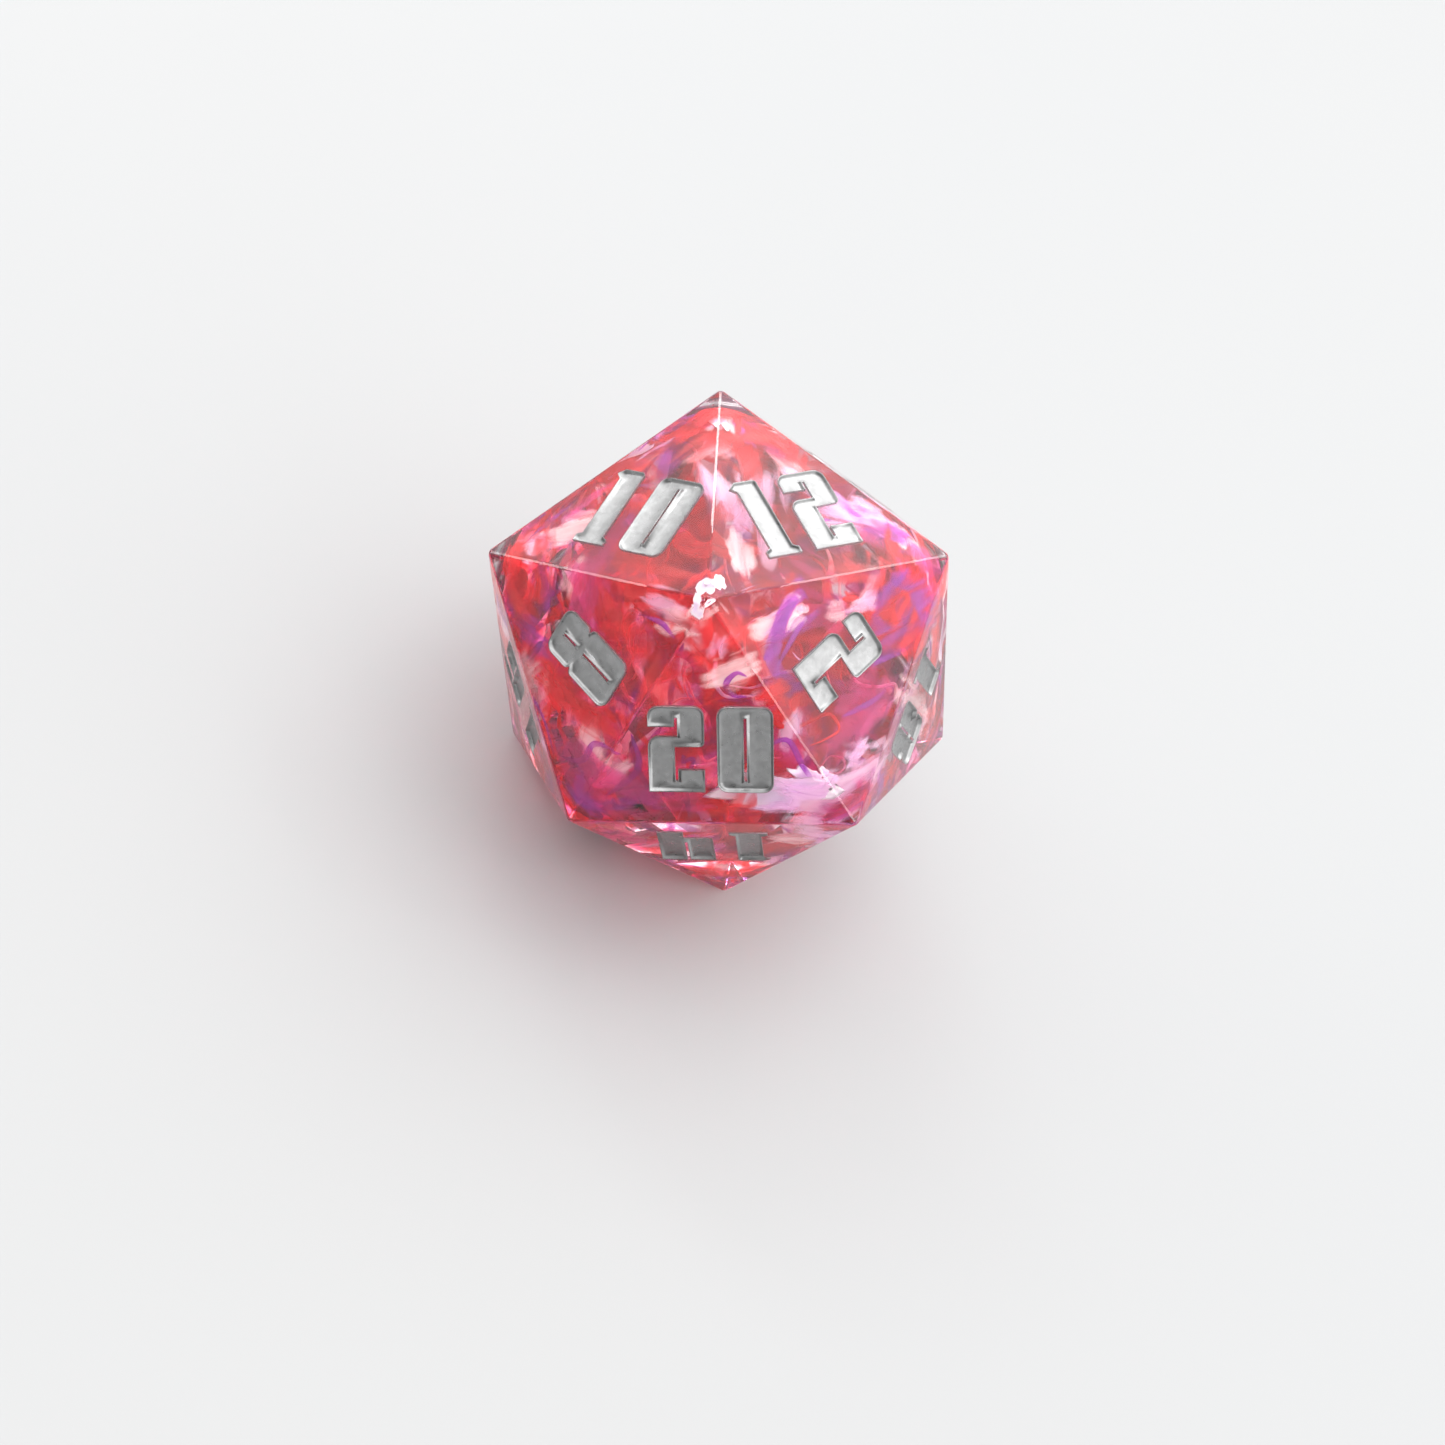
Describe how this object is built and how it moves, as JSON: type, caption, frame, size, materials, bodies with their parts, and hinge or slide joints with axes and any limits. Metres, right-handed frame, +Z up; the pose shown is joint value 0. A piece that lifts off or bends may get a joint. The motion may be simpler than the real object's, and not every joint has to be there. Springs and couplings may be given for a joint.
{
  "type": "twenty-sided die",
  "caption": "Large twenty-sided gaming die cast in clear swirled resin, with recessed numerals filled with metallic paint.",
  "frame": {"origin": "centre of the face that the die rests on, the 9", "axes": "+Z up, out of the face of the 12; -Y towards the corner shared by the 20, 8, 10, 12 and 2; +X to the right seen from there"},
  "size_m": [0.0588, 0.0676, 0.055],
  "materials": {
    "resin": "polished",
    "numeral_paint": "satin"
  },
  "bodies": {
    "root": {"resin_body": "resin", "paint_1": "numeral_paint", "paint_2": "numeral_paint", "paint_3": "numeral_paint", "paint_4": "numeral_paint", "paint_5": "numeral_paint", "paint_6": "numeral_paint", "paint_6_underline": "numeral_paint", "paint_7": "numeral_paint", "paint_8": "numeral_paint", "paint_9": "numeral_paint", "paint_9_underline": "numeral_paint", "paint_10_tens": "numeral_paint", "paint_10_units": "numeral_paint", "paint_11_tens": "numeral_paint", "paint_11_units": "numeral_paint", "paint_12_tens": "numeral_paint", "paint_12_units": "numeral_paint", "paint_13_tens": "numeral_paint", "paint_13_units": "numeral_paint", "paint_14_tens": "numeral_paint", "paint_14_units": "numeral_paint", "paint_15_tens": "numeral_paint", "paint_15_units": "numeral_paint", "paint_16_tens": "numeral_paint", "paint_16_units": "numeral_paint", "paint_17_tens": "numeral_paint", "paint_17_units": "numeral_paint", "paint_18_tens": "numeral_paint", "paint_18_units": "numeral_paint", "paint_19_tens": "numeral_paint", "paint_19_units": "numeral_paint", "paint_20_tens": "numeral_paint", "paint_20_units": "numeral_paint"}
  },
  "joints": []
}
